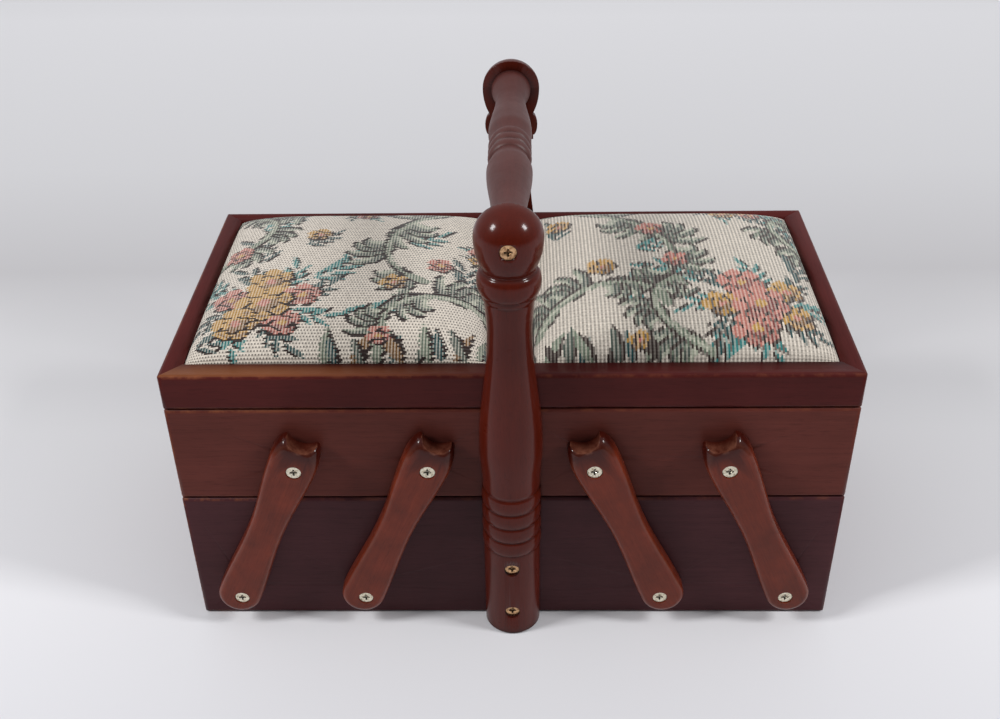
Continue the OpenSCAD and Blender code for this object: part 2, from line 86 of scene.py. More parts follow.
# %% Tools for node trees
def feed(tree, node, inputs):
    """Gives a node its inputs, by name or in order, as values or as what feeds them."""
    for name, given in inputs.items() if isinstance(inputs, dict) else enumerate(inputs):
        if isinstance(given, bpy.types.Node):
            given = given.outputs[0]
        if isinstance(given, bpy.types.NodeSocket):
            tree.links.new(given, node.inputs[name])
        else:
            node.inputs[name].default_value = given


def add(tree, kind, inputs=(), **settings):
    """A node with its settings and what is fed into it."""
    made = tree.nodes.new(kind)
    for name, value in settings.items():
        setattr(made, name, value)
    feed(tree, made, inputs)
    return made


def blank(name):
    """A new material with its node tree and its Principled shader."""
    material = bpy.data.materials.new(name)
    material.use_nodes = True
    shader = material.node_tree.nodes["Principled BSDF"]
    return material, material.node_tree, shader


def product(tree, first, second):
    return add(tree, "ShaderNodeMath", (first, second), operation="MULTIPLY")


def mapped(tree, source, low, high, new_low, new_high):
    """Carries a number from one range to another and holds it at both ends."""
    return add(tree, "ShaderNodeMapRange", (source, low, high, new_low, new_high))


def mixed(tree, share, first, second):
    """The first colour turned into the second by a share."""
    return add(tree, "ShaderNodeMix", {0: share, 6: first, 7: second}, data_type="RGBA").outputs[2]


def bumped(tree, height, strength, depth):
    return add(tree, "ShaderNodeBump", {"Strength": strength, "Distance": depth, "Height": height})


# %% [markdown]
# The camera stands where the photographer did: a little above the box, looking down at about
# 34 degrees with a normal lens. Its place was solved from the corners of the box. The
# slight roll is that of a camera held in the hand.

# %% Camera
CAMERA_PLACE = Vector((6.6, -569.2, 497.9)) * MM
CAMERA_PITCH = math.radians(34.10)
CAMERA_YAW = math.radians(1.36)
CAMERA_ROLL = math.radians(-1.01)
LENS = 43.13

camera_data = bpy.data.cameras.new("camera")
camera_data.lens = LENS
camera_data.sensor_width = 36.0
camera = put("camera", camera_data)
camera.matrix_world = (
    Matrix.Translation(CAMERA_PLACE)
    @ Matrix.Rotation(CAMERA_YAW, 4, "Z")
    @ Matrix.Rotation(math.pi / 2 - CAMERA_PITCH, 4, "X")
    @ Matrix.Rotation(CAMERA_ROLL, 4, "Z")
)
bpy.context.scene.camera = camera

# %% [markdown]
# Edges lose their stain first. On the box-shaped tiers a point is near an edge when it is near
# two faces of the box at once, which a few sums on its coordinates can tell. The left end was
# knocked more than the rest, so the wear grows towards it.

# %% Edge wear
WORN_WIDTH = 1.9 * MM
BARE_WIDTH = 0.7 * MM


def edge_wear(tree, spot, low, high):
    """How near a point of a box-shaped tier is to one of its edges, from 0 to 1."""
    middle = [(a + b) / 2 for a, b in zip(low, high)]
    half = [(b - a) / 2 for a, b in zip(low, high)]
    away = add(tree, "ShaderNodeVectorMath", (spot, middle), operation="SUBTRACT")
    size = add(tree, "ShaderNodeVectorMath", (away,), operation="ABSOLUTE")
    gap = add(tree, "ShaderNodeVectorMath", (half, size), operation="SUBTRACT")
    gaps = add(tree, "ShaderNodeSeparateXYZ", (gap,)).outputs
    near = [mapped(tree, gaps[k], WORN_WIDTH, BARE_WIDTH, 0.0, 1.0) for k in range(3)]
    best, *others = [product(tree, near[a], near[b]) for a, b in ((0, 1), (1, 2), (0, 2))]
    for other in others:
        best = add(tree, "ShaderNodeMath", (best, other), operation="MAXIMUM")
    across = add(tree, "ShaderNodeSeparateXYZ", (spot,))
    return product(tree, best, mapped(tree, across, -90 * MM, -170 * MM, 0.3, 1.0))


# %% [markdown]
# Mahogany stain over a close-grained hardwood is what gives these boxes their colour. Seen from
# a step away the stain hides most of the figure, so the streaks, the pores and the uneven wiping
# each change the tone only a little. The texture space is turned so that its X runs along the
# grain, and every scale is a real length.

# %% Stain
def stained(tree, tone, shades):
    """The tone made darker or lighter by each source, which runs from one range to another."""
    factor, *others = [mapped(tree, *shade) for shade in shades]
    for other in others:
        factor = product(tree, factor, other)
    return add(tree, "ShaderNodeVectorMath", {0: tint(tone), "Scale": factor}, operation="SCALE")


def grain(tree, spot, turn, long, wide, detail, rough, distort=0.0):
    """Noise drawn out along the grain, with streaks about long by wide metres."""
    placing = {"Vector": spot, "Rotation": turn, "Scale": (long, wide, wide)}
    along = add(tree, "ShaderNodeMapping", placing, vector_type="TEXTURE")
    look = {"Scale": 1.0, "Detail": detail, "Roughness": rough, "Distortion": distort}
    return add(tree, "ShaderNodeTexNoise", {"Vector": along, **look})


def blotches(tree, spot, size, detail, rough):
    """Noise with patches about size metres wide."""
    look = {"Vector": spot, "Scale": 1 / size, "Detail": detail, "Roughness": rough}
    return add(tree, "ShaderNodeTexNoise", look)


# %% Stained wood
BROWN_RAIL_TOP_TONE = "#784629"
BARE_TONE = "#8c5234"


def wood(
    name, tone, turn, rough, shine, coat=0.0, figure=0.1, tier=None, brown_rail_top=False, grooves=False
):
    """Stained wood of one middle tone. Shine is the specular level and coat the lacquer."""
    material, tree, shader = blank(name)
    spot = add(tree, "ShaderNodeTexCoord").outputs["Object"]
    place = add(tree, "ShaderNodeSeparateXYZ", (spot,)).outputs
    streaks = grain(tree, spot, turn, 90 * MM, 2.6 * MM, 5.0, 0.6, 0.4)
    # Real pores are 0.2 mm wide. These are a little coarser, so that they still show
    pores = grain(tree, spot, turn, 8 * MM, 0.45 * MM, 2.0, 0.5)
    wiping = blotches(tree, spot, 70 * MM, 3.0, 0.5)
    scuffs = blotches(tree, spot, 9 * MM, 6.0, 0.7)
    shades = [
        (streaks, 0.3, 0.7, 1 - figure, 1 + figure),
        (pores, 0.3, 0.45, 0.8, 1.02),
        (wiping, 0.3, 0.7, 0.82, 1.2),
    ]
    if tier:
        # Painted light and shade: the ends of each tier are made lighter and its middle, behind
        # the post, darker
        out = add(tree, "ShaderNodeMath", (place[0],), operation="ABSOLUTE")
        shades.append((out, 0.05, 0.16, 0.86, 1.1))
    if grooves:
        # Painted shade: the turned grooves are darkened where ambient occlusion finds them closed
        # in
        occlusion_shade = add(tree, "ShaderNodeAmbientOcclusion", {"Distance": 5 * MM}, samples=6)
        shades.append((occlusion_shade.outputs["AO"], 0.5, 0.93, 0.3, 1.0))
    stain = stained(tree, tone, shades)
    if brown_rail_top:
        # The top of the front rail is browner towards the left
        normal = add(tree, "ShaderNodeNewGeometry").outputs["Normal"]
        upward = add(tree, "ShaderNodeSeparateXYZ", (normal,)).outputs[2]
        top = mapped(tree, upward, 0.6, 0.95, 0.0, 1.0)
        left = mapped(tree, place[0], 0.0, -0.12, 0.0, 0.9)
        front = mapped(tree, place[1], 0.0, -0.05, 0.0, 1.0)
        brown_share = product(tree, product(tree, top, left), front)
        stain = mixed(tree, brown_share, stain, rgba(BROWN_RAIL_TOP_TONE))
    if tier:
        patchy = mapped(tree, scuffs, 0.46, 0.6, 0.0, 0.8)
        rubbed = product(tree, edge_wear(tree, spot, *tier), patchy)
        stain = mixed(tree, rubbed, stain, rgba(BARE_TONE))
    height = add(tree, "ShaderNodeMath", (streaks, 0.5, pores), operation="MULTIPLY_ADD")
    look = {
        "Base Color": stain,
        "Roughness": mapped(tree, scuffs, 0.3, 0.7, rough * 0.88, rough * 1.2),
        "Specular IOR Level": shine,
        "Coat Weight": coat,
        "Coat Roughness": 0.13,
        "Normal": bumped(tree, height, 0.12, 0.1 * MM),
    }
    feed(tree, shader, look)
    return material


# %% [markdown]
# The tiers were stained one by one. The lids came out a deep red, the trays browner and a little
# lighter, and the base darkest and coolest, all with a satin surface. The turned posts were
# dipped and are redder and glossy. Hands have dulled the rod, which shows a broad soft sheen.

# %% Wood of each piece
GRAIN_X = (0.0, 0.0, 0.0)
GRAIN_Y = (0.0, 0.0, math.pi / 2)
GRAIN_Z = (0.0, math.pi / 2, 0.0)
LID_TONE = "#4d1d1b"
TRAY_TONE = "#5f2f28"
BASE_TONE = "#49282b"
POST_TONE = "#4e170c"
ROD_TONE = "#4d221d"
SATIN = {"rough": 0.34, "shine": 0.1}
# The posts and the rod get painted shade in their turned grooves
GLOSSY = {"rough": 0.3, "shine": 0.04, "coat": 0.42, "figure": 0.08, "grooves": True}
HAND_DULLED = {"rough": 0.46, "shine": 0.5, "figure": 0.08, "grooves": True}


def tier_box(names):
    lows, highs = zip(*(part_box(n) for n in names))
    return [min(c) for c in zip(*lows)], [max(c) for c in zip(*highs)]


finish = {}
base_nodes = ["base_front_wall", "base_back_wall", "base_left_end", "base_right_end"]
tiers = [("base", base_nodes, BASE_TONE)]
for side in ("left", "right"):
    tray_nodes = [f"{side}_tray_{n}" for n in ("front", "back", "outer_end", "inner_end")]
    lid_nodes = [f"{side}_lid_{n}_rail" for n in ("front", "back", "outer", "inner")]
    tiers += [(f"{side}_tray", tray_nodes, TRAY_TONE), (f"{side}_lid", lid_nodes, LID_TONE)]
for tier_name, members, tone in tiers:
    extent, brown_rail_top = tier_box(members), tier_name.endswith("lid")
    name = f"satin_mahogany_{tier_name}"
    long_wood = wood(f"{name}_long", tone, GRAIN_X, tier=extent, brown_rail_top=brown_rail_top, **SATIN)
    end_wood = wood(f"{name}_end", tone, GRAIN_Y, tier=extent, **SATIN)
    for n in members:
        across = n.endswith(("_end", "outer_rail", "inner_rail"))
        finish[n] = end_wood if across else long_wood

finish["front_post"] = wood("glossy_mahogany_posts", POST_TONE, GRAIN_Z, **GLOSSY)
finish["back_post"] = finish["front_post"]
finish["handle_rod"] = wood("hand_dulled_mahogany_rod", ROD_TONE, GRAIN_Y, **HAND_DULLED)
print("stained pieces:", len(finish))

# %% [markdown]
# Bottoms and lid boards are thin plywood that was never stained. It is pale birch with long
# quiet grain, and only a coat of wax.

# %% Plywood
def plywood():
    material, tree, shader = blank("birch_plywood")
    spot = add(tree, "ShaderNodeTexCoord").outputs["Object"]
    figure = grain(tree, spot, GRAIN_X, 140 * MM, 7 * MM, 6.0, 0.6, 1.4)
    share = mapped(tree, figure, 0.35, 0.65, 0.0, 1.0)
    look = {
        "Base Color": mixed(tree, share, rgba("#8a6640"), rgba("#b08d62")),
        "Roughness": 0.6,
        "Normal": bumped(tree, figure, 0.2, 0.1 * MM),
    }
    feed(tree, shader, look)
    return material


board = plywood()
for n in nodes:
    if n.endswith(("_bottom", "_board")):
        finish[n] = board
print("with plywood:", len(finish))

# %% [markdown]
# The cross-head screws are plated steel that has dulled, the washers are zinc plated, and the
# hinges are pressed brass. All are metals, so their colour lives in the reflection. Fine
# scratches and grime change the roughness from place to place.

# %% Metals
def metal(name, bright, dull, rough):
    material, tree, shader = blank(name)
    spot = add(tree, "ShaderNodeTexCoord").outputs["Object"]
    stains = blotches(tree, spot, 1.1 * MM, 4.0, 0.65)
    amount = mapped(tree, stains, 0.45, 0.7, 0.0, 1.0)
    face = mixed(tree, amount, rgba(bright), rgba(dull))
    # Painted shade: the recesses are darkened towards near black where ambient occlusion finds
    # them closed in
    occlusion_shade = add(tree, "ShaderNodeAmbientOcclusion", {"Distance": 1.6 * MM}, samples=6)
    unshaded_share = mapped(tree, occlusion_shade.outputs["AO"], 0.35, 0.85, 0.0, 1.0)
    look = {
        "Base Color": mixed(tree, unshaded_share, rgba("#120c08"), face),
        "Metallic": 1.0,
        "Roughness": mapped(tree, stains, 0.4, 0.7, rough, rough + 0.25),
        "Normal": bumped(tree, stains, 0.15, 0.05 * MM),
    }
    feed(tree, shader, look)
    return material


hinge_brass = metal("pressed_brass", "#c79a4b", "#7d5f2f", 0.25)
plated_brass = metal("brass_plated_steel", "#dcb286", "#8a5f40", 0.22)
metals = {
    "arm_screws": metal("nickel_plated_steel", "#f1ead4", "#a79a7c", 0.25),
    "post_screws": plated_brass,
    "rod_screws": plated_brass,
    "washers": metal("zinc_plated_steel", "#a9a69c", "#5d5a55", 0.35),
    "hinge": hinge_brass,
}
for n in nodes:
    for part, look in metals.items():
        if part in n:
            finish[n] = look
print("with metals:", len(finish))

# %% [markdown]
# A piece from the frame is a cloud of loose triangles, which shade flat. A copy with its
# doubles merged can be shaded smooth, with sharp edges kept where two faces meet at more than
# 32 degrees. Weighting each corner by the area of its faces keeps broad faces truly flat.

# %% Smooth copies
KEEP_SHARP = math.radians(32)
WELD = 0.004 * MM
POST_SCREWS_OUT = 1.8 * MM
bodies = frame["record"]["behaviour"]["bodies"]
body_of_node = {n: body for body, members in bodies.items() for n in members}


def show(mesh, name, node):
    """An object at the origin for a finished mesh, riding on its body in place of a node."""
    piece = put(name, mesh)
    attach(piece, body_of_node[node])
    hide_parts(node)
    return piece


def shade_smooth(mesh):
    """The mesh with smooth faces, sharp edges and flat faces that stay flat."""
    for face in mesh.polygons:
        face.use_smooth = True
    mesh.set_sharp_from_angle(angle=KEEP_SHARP)
    holder = put("holder", mesh)
    weigh = holder.modifiers.new("flat_faces", "WEIGHTED_NORMAL")
    weigh.keep_sharp = True
    baked = settled(holder)
    bpy.data.objects.remove(holder)
    return baked


def welded(mesh):
    """A mesh to work on, with its doubles merged."""
    shape = bmesh.new()
    shape.from_mesh(mesh)
    bmesh.ops.remove_doubles(shape, verts=shape.verts, dist=WELD)
    return shape


def welded_copy(name, material):
    """A copy of a frame piece with its doubles merged, in its own material."""
    shape = welded(nodes[name].data)
    mesh = bpy.data.meshes.new(f"{name}_finished")
    shape.to_mesh(mesh)
    shape.free()
    mesh.materials.clear()
    mesh.materials.append(material)
    return mesh


own_shape = [n for n in nodes if n.endswith(("_padding", "hinge_screws", "_arm"))]
for n in sorted(set(nodes) - set(own_shape)):
    mesh = welded_copy(n, finish[n])
    if n == "post_screws":
        # In the photograph these heads lie almost flush with the foot of the post
        for vert in mesh.vertices:
            vert.co.y += math.copysign(POST_SCREWS_OUT, vert.co.y)
    show(shade_smooth(mesh), f"{n}_finished", n)
print("smooth copies:", len(nodes) - len(own_shape))

# %% [markdown]
# The arms are small pieces of shaping: a waisted outline, every front edge rounded over, a
# domed upper end and a scoop cut into it last, which leaves a crisp lip. The mesh is the outline
# repeated in rings, each a little further in and further forward. Two rows of numbers stay with
# it for the finish: where hands rubbed it, and where the stain pooled at the upper end.

# %% Outline of an arm
OUTER_PIVOT = 148.6
INNER_PIVOT = 80.4
PIVOT_HEIGHT = 22.0
LEAN_ACROSS = 38.0
LEAN_UP = 88.3
ARM_BACK = 89.5
ARM_LENGTH = math.hypot(LEAN_ACROSS, LEAN_UP)
ARM_END = ARM_LENGTH + 17.0
ARM_THICK = 10.0
FOOT_HALF = 11.6
WAIST_HALF = 9.3
TOP_HALF = 12.5
SHOULDER = 13.0
SHOULDER_START = ARM_END - SHOULDER
HORN = 8.0
SCOOP_DEPTH = 4.2
ARM_SHIFT = 1.7


def eased(a, b, t):
    return a + (b - a) * (1 - math.cos(math.pi * t)) / 2


def arm_half_width(u):
    middle = SHOULDER_START / 2
    if u < middle:
        return eased(FOOT_HALF, WAIST_HALF, u / middle)
    return eased(WAIST_HALF, TOP_HALF, u / middle - 1)


def arm_outline():
    """The closed outline as (across, along), from the foot up one side and down the other."""
    quarter = np.radians(np.arange(-90, 0, 7.5))
    foot = [(FOOT_HALF * math.cos(a), FOOT_HALF * math.sin(a)) for a in quarter]
    sides = [(arm_half_width(u), u) for u in np.linspace(0, SHOULDER_START, 30)]
    horn = []
    for a in np.radians(np.arange(10, 91, 8)):
        across = HORN + (TOP_HALF - HORN) * math.cos(a)
        horn.append((across, SHOULDER_START + SHOULDER * math.sin(a)))
    top = [(across, ARM_END) for across in np.linspace(HORN, 0, 6)[1:]]
    half = foot + sides + horn + top
    return half + [(-across, along) for across, along in half[-2:0:-1]]


# %% Body of an arm
EDGE_BREAK = 0.8
ROUND_OVER = 3.6
DOME = 3.2
DOME_START = 96.0
DOME_LENGTH = 15.0
CORE_END = ARM_END - 14.0


def smooth_step(t):
    t = min(max(t, 0.0), 1.0)
    return t * t * (3 - 2 * t)


def arm_body():
    """The rounded arm before its cuts, upright on its lower pivot, its back on y = 0."""
    outline = arm_outline()
    rings = [(EDGE_BREAK, 0.0, None), (0.0, EDGE_BREAK, None)]
    rings += [(None, None, a) for a in np.radians(np.arange(0, 91, 11.25))]
    verts = []
    for inset, depth, angle in rings:
        for across, along in outline:
            if angle is not None:
                radius = ROUND_OVER + DOME * smooth_step((along - DOME_START) / DOME_LENGTH)
                inset = radius * (1 - math.cos(angle))
                depth = ARM_THICK - radius * (1 - math.sin(angle))
            # Each point moves in towards the nearest point of the arm's middle line
            core = min(max(along, 0.0), CORE_END)
            share = inset / math.hypot(across, core - along)
            x, z = across - across * share, along + (core - along) * share
            verts.append(((x - ARM_SHIFT) * MM, -depth * MM, z * MM))
    n = len(outline)
    faces = [
        (k * n + i, k * n + (i + 1) % n, (k + 1) * n + (i + 1) % n, (k + 1) * n + i)
        for k in range(len(rings) - 1)
        for i in range(n)
    ]
    faces += [tuple(range(n - 1, -1, -1)), tuple((len(rings) - 1) * n + i for i in range(n))]
    mesh = bpy.data.meshes.new("arm_body")
    mesh.from_pydata(verts, [], faces)
    return mesh


def lathe_cutter(profile, steps=48):
    """A closed solid turned round Y from (radius, y) points that start and end on the axis."""
    shape = bmesh.new()
    edge = [shape.verts.new((r * MM, y * MM, 0)) for r, y in profile]
    for a, b in zip(edge, edge[1:]):
        shape.edges.new((a, b))
    whole = shape.verts[:] + shape.edges[:]
    turn = {"axis": (0, 1, 0), "cent": (0, 0, 0), "steps": steps, "angle": 2 * math.pi}
    bmesh.ops.spin(shape, geom=whole, **turn)
    bmesh.ops.remove_doubles(shape, verts=shape.verts, dist=0.001 * MM)
    bmesh.ops.recalc_face_normals(shape, faces=shape.faces)
    mesh = bpy.data.meshes.new("cutter")
    shape.to_mesh(mesh)
    shape.free()
    return mesh


# %% Cuts in an arm
SCOOP_R = (HORN**2 + SCOOP_DEPTH**2) / (2 * SCOOP_DEPTH)
SCOOP_Z = ARM_END - SCOOP_DEPTH + SCOOP_R
# Radius and depth along the hole, from in front of the arm to behind it
COUNTERSINK = [(0, -20), (4.05, -20), (4.05, -9.0), (2.08, -7.03), (2.08, 5), (0, 5)]


def cut_arm():
    """The arm with its two countersunk holes and the scoop."""
    arm = put("arm_blank", arm_body())
    scoop = lathe_cutter([(0, -20), (SCOOP_R, -20), (SCOOP_R, 5), (0, 5)], 72)
    cutters = [
        (lathe_cutter(COUNTERSINK), (0, 0, 0)),
        (lathe_cutter(COUNTERSINK), (0, 0, ARM_LENGTH * MM)),
        (scoop, (-ARM_SHIFT * MM, 0, SCOOP_Z * MM)),
    ]
    tools = []
    for mesh, place in cutters:
        mesh.transform(Matrix.Translation(place))
        tools.append(put("cutter", mesh))
        cut = arm.modifiers.new("cut", "BOOLEAN")
        cut.operation, cut.solver, cut.object = "DIFFERENCE", "EXACT", tools[-1]
    mesh = settled(arm)
    for spent in (arm, *tools):
        bpy.data.objects.remove(spent)
    return mesh


def note_wear(mesh):
    """Writes where the arm is rubbed and where its stain pooled."""
    rub = mesh.attributes.new("rub", "FLOAT", "POINT")
    pooled = mesh.attributes.new("pooled", "FLOAT", "POINT")
    for k, vert in enumerate(mesh.vertices):
        x, y, z = vert.co.x / MM + ARM_SHIFT, -vert.co.y / MM, vert.co.z / MM
        # The lip is the wall of the scoop, clear of the arm's back, and the edge is the rounding
        lip = abs(math.hypot(x, z - SCOOP_Z) - SCOOP_R) < 0.05 and y > 3.2
        edge = smooth_step((y - 7.0) / 2) * (1 - smooth_step((y - 9.2) / 0.7))
        rub.data[k].value = 0.8 if lip else 0.2 * edge
        pooled.data[k].value = smooth_step((z - 98) / 11)


arm_shape = cut_arm()
note_wear(arm_shape)
print("arm:", len(arm_shape.vertices), "points")


# %% Finish of the arms
def arm_wood():
    material, tree, shader = blank("shaped_mahogany_arms")
    # Each arm leans, so the grain follows the arm's own length, kept in its UV map
    place = add(tree, "ShaderNodeUVMap", uv_map="grain")
    spot = add(tree, "ShaderNodeTexCoord").outputs["Object"]
    streaks = grain(tree, place, GRAIN_X, 45 * MM, 1.1 * MM, 5.0, 0.65, 0.5)
    pores = grain(tree, place, GRAIN_X, 6 * MM, 0.4 * MM, 2.0, 0.5)
    patches = blotches(tree, spot, 16 * MM, 4.0, 0.6)
    shades = [
        (streaks, 0.3, 0.7, 0.84, 1.16),
        (pores, 0.3, 0.45, 0.75, 1.03),
        (patches, 0.3, 0.7, 0.78, 1.25),
    ]
    stain = stained(tree, "#672614", shades)
    pooled = add(tree, "ShaderNodeAttribute", attribute_name="pooled").outputs["Fac"]
    stain = mixed(tree, pooled, stain, rgba("#3a0f08"))
    rub = add(tree, "ShaderNodeAttribute", attribute_name="rub").outputs["Fac"]
    scuffs = blotches(tree, spot, 5 * MM, 5.0, 0.7)
    bare = product(tree, rub, mapped(tree, scuffs, 0.35, 0.6, 0.1, 1.0))
    look = {
        "Base Color": mixed(tree, bare, stain, rgba("#80503e")),
        "Roughness": 0.3,
        "Specular IOR Level": 0.08,
        "Coat Weight": 0.4,
        "Coat Roughness": 0.08,
        "Normal": bumped(tree, pores, 0.18, 0.1 * MM),
    }
    feed(tree, shader, look)
    return material


def place_arm(name, material):
    """One arm, leaned, mirrored and set on its lower pivot."""
    side = -1 if name.startswith("left") else 1
    back = 1 if "_back_" in name else -1
    pivot = OUTER_PIVOT if "_outer_" in name else INNER_PIVOT
    mesh = arm_shape.copy()
    uv = mesh.uv_layers.new(name="grain")
    offset = 0.2 * (sorted(nodes).index(name) + 1)
    for loop in mesh.loops:
        co = mesh.vertices[loop.vertex_index].co
        uv.data[loop.index].uv = (co.z + offset, co.x - co.y)
    lean = Matrix.Rotation(math.atan2(LEAN_ACROSS, LEAN_UP), 4, "Y")
    seat = Matrix.Translation(Vector((-pivot, -ARM_BACK, PIVOT_HEIGHT)) * MM)
    mirror = Matrix.Diagonal((1 if side < 0 else -1, 1 if back < 0 else -1, 1, 1))
    mesh.transform(mirror @ seat @ lean)
    if side * back < 0:
        mesh.flip_normals()
    mesh.materials.clear()
    mesh.materials.append(material)
    piece = show(shade_smooth(mesh), f"{name}_shaped", name)
    box = [np.array(corner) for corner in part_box(name)]
    own = np.array([v.co[:] for v in piece.data.vertices])
    off = np.abs(np.array([own.min(0), own.max(0)]) - box).max()
    print(name, "off the frame by", off.round(4), "m")


arm_finish = arm_wood()
for n in sorted(nodes):
    if n.endswith("_arm"):
        place_arm(n, arm_finish)

# %% [markdown]
# The hinge screws are the same small slotted brass screw sixteen times over, so Geometry Nodes
# place them. The points are the centres of the plain discs in the frame. The head is a short
# cylinder with a slot cut through its face, turned by a random angle, as no one lines up slots.

# %% Hinge screws
def screw_tree():
    tree = bpy.data.node_groups.new("slotted_screws", "GeometryNodeTree")
    kinds = {
        "Geometry": "Geometry",
        "Head radius": "Float",
        "Head height": "Float",
        "Slot width": "Float",
        "Material": "Material",
    }
    for name, kind in kinds.items():
        tree.interface.new_socket(name, in_out="INPUT", socket_type=f"NodeSocket{kind}")
    tree.interface.new_socket("Geometry", in_out="OUTPUT", socket_type="NodeSocketGeometry")
    given = add(tree, "NodeGroupInput").outputs
    height = given["Head height"]
    sizes = {"Vertices": 28, "Side Segments": 1, "Radius": given["Head radius"], "Depth": height}
    head = add(tree, "GeometryNodeMeshCylinder", sizes, fill_type="NGON")
    # The cutting bar is longer than the head is wide, and sits just over half its height up
    span = product(tree, given["Head radius"], 2.4)
    lift = product(tree, height, 0.55)
    bar = add(tree, "ShaderNodeCombineXYZ", (span, given["Slot width"], height))
    up = add(tree, "ShaderNodeCombineXYZ", {"Z": lift})
    cutter = add(tree, "GeometryNodeMeshCube", {"Size": bar})
    raised = add(tree, "GeometryNodeTransform", {"Geometry": cutter, "Translation": up})
    both = {"Mesh 1": head, "Mesh 2": raised}
    slotted = add(tree, "GeometryNodeMeshBoolean", both, operation="DIFFERENCE")
    aim = add(tree, "GeometryNodeInputNamedAttribute", ("outward",), data_type="FLOAT_VECTOR")
    facing = add(tree, "FunctionNodeAlignRotationToVector", {"Vector": aim}, axis="Z")
    draw = {"Min": 0.0, "Max": math.pi, "Seed": 7}
    spin = add(tree, "FunctionNodeRandomValue", draw, data_type="FLOAT")
    turn = add(tree, "ShaderNodeCombineXYZ", {"Z": spin.outputs[1]})
    turns = {"Rotation": facing, "Rotate By": turn}
    twist = add(tree, "FunctionNodeRotateRotation", turns, rotation_space="LOCAL")
    spread = {"Points": given["Geometry"], "Instance": slotted, "Rotation": twist}
    placed = add(tree, "GeometryNodeInstanceOnPoints", spread)
    real = add(tree, "GeometryNodeRealizeInstances", {"Geometry": placed})
    paint = {"Geometry": real, "Material": given["Material"]}
    painted = add(tree, "GeometryNodeSetMaterial", paint)
    add(tree, "NodeGroupOutput", (painted,))
    return tree


def islands(mesh):
    """The low and the high corner of each loose solid of a mesh."""
    shape = welded(mesh)
    # A dict keeps its order, so the solids come out in the same order on each run
    left, found = dict.fromkeys(shape.verts), []
    while left:
        group, todo = set(), [left.popitem()[0]]
        while todo:
            vert = todo.pop()
            group.add(vert)
            for edge in vert.link_edges:
                other = edge.other_vert(vert)
                if other in left:
                    del left[other]
                    todo.append(other)
        low = Vector([min(v.co[k] for v in group) for k in range(3)])
        high = Vector([max(v.co[k] for v in group) for k in range(3)])
        found.append((low, high))
    shape.free()
    return found


HEAD_HEIGHT = 0.6 * MM
SCREW = {
    "Head radius": 2.1 * MM,
    "Head height": HEAD_HEIGHT,
    "Slot width": 0.5 * MM,
    "Material": hinge_brass,
}
slotted_screws = screw_tree()
for n in [n for n in nodes if n.endswith("hinge_screws")]:
    side = -1 if n.startswith("left") else 1
    places = []
    for low, high in islands(nodes[n].data):
        middle = (low + high) / 2
        face_x = low.x if side < 0 else high.x
        places.append((face_x - side * HEAD_HEIGHT / 2, middle.y, middle.z))
    points = bpy.data.meshes.new(f"{n}_points")
    points.from_pydata(places, [], [])
    outward = points.attributes.new("outward", "FLOAT_VECTOR", "POINT")
    for entry in outward.data:
        entry.vector = (side, 0, 0)
    holder = put(f"{n}_holder", points)
    maker = holder.modifiers.new("slotted_screws", "NODES")
    maker.node_group = slotted_screws
    for socket in slotted_screws.interface.items_tree:
        if socket.name in SCREW:
            maker[socket.identifier] = SCREW[socket.name]
    heads = settled(holder)
    bpy.data.objects.remove(holder)
    show(heads, f"{n}_slotted", n)
    print(n, "heads:", len(places), "faces:", len(heads.polygons))

# %% [markdown]
# A padded lid is a slab of foam on a board with tapestry pulled over it and tucked down inside
# the rails. The sheet below starts as a low crown with soft shoulders. A short cloth simulation
# with air pressure under it swells it as the foam does. The skirt inside the rails is pinned.

# %% Shape of the padding
CORNER_POWER = 4.2
ROUNDING = 0.48
COARSE = 30
SETTLE_FRAMES = 16
FOAM = {
    "quality": 6,
    "mass": 0.25,
    "tension_stiffness": 12,
    "compression_stiffness": 12,
    "shear_stiffness": 4,
    "bending_stiffness": 0.6,
    "use_pressure": True,
    "uniform_pressure_force": 2.5,
    "vertex_group_mass": "held",
}


def bulge(s):
    return np.maximum(0.0, 1.0 - np.abs(s) ** CORNER_POWER) ** ROUNDING


def even_places(count, half, rise):
    """Places from -1 to 1 at even steps along the curved surface."""
    s = np.sin(np.linspace(-1, 1, 4001) * math.pi / 2)
    steps = np.hypot(np.diff(s) * half, np.diff(bulge(s)) * rise)
    along = np.concatenate([[0.0], np.cumsum(steps)])
    return np.interp(np.linspace(0, along[-1], count), along, s), along[-1]


def spline_weights(coarse, fine):
    """Catmull-Rom weights that carry a coarse row of points to a fine one."""
    table = np.zeros((fine, coarse))
    for row, t in enumerate(np.linspace(0, coarse - 1, fine)):
        k = min(int(t), coarse - 2)
        f = t - k
        shares = (
            -0.5 * f + f * f - 0.5 * f**3,
            1 - 2.5 * f * f + 1.5 * f**3,
            0.5 * f + 2 * f * f - 1.5 * f**3,
            -0.5 * f * f + 0.5 * f**3,
        )
        for offset, share in zip((-1, 0, 1, 2), shares):
            table[row, min(max(k + offset, 0), coarse - 1)] += share
    return table


def closed_pad(top, floor):
    """Vertices and faces of a pad: its top grid, straight sides and a flat bottom."""
    rows, columns = top.shape[:2]
    index = np.arange(rows * columns).reshape(rows, columns)
    corners = (index[:-1, :-1], index[:-1, 1:], index[1:, 1:], index[1:, :-1])
    faces = np.stack(corners, -1).reshape(-1, 4)
    rim = np.concatenate([index[0, :], index[1:, -1], index[-1, -2::-1], index[-2:0:-1, 0]])
    foot = top.reshape(-1, 3)[rim].copy()
    foot[:, 2] = floor
    first = rows * columns
    low = first + np.arange(len(rim))
    skirt = np.stack([rim, low, np.roll(low, -1), np.roll(rim, -1)], -1)
    verts = np.concatenate([top.reshape(-1, 3), foot])
    return verts, [*faces.tolist(), *skirt.tolist(), low[::-1].tolist()]


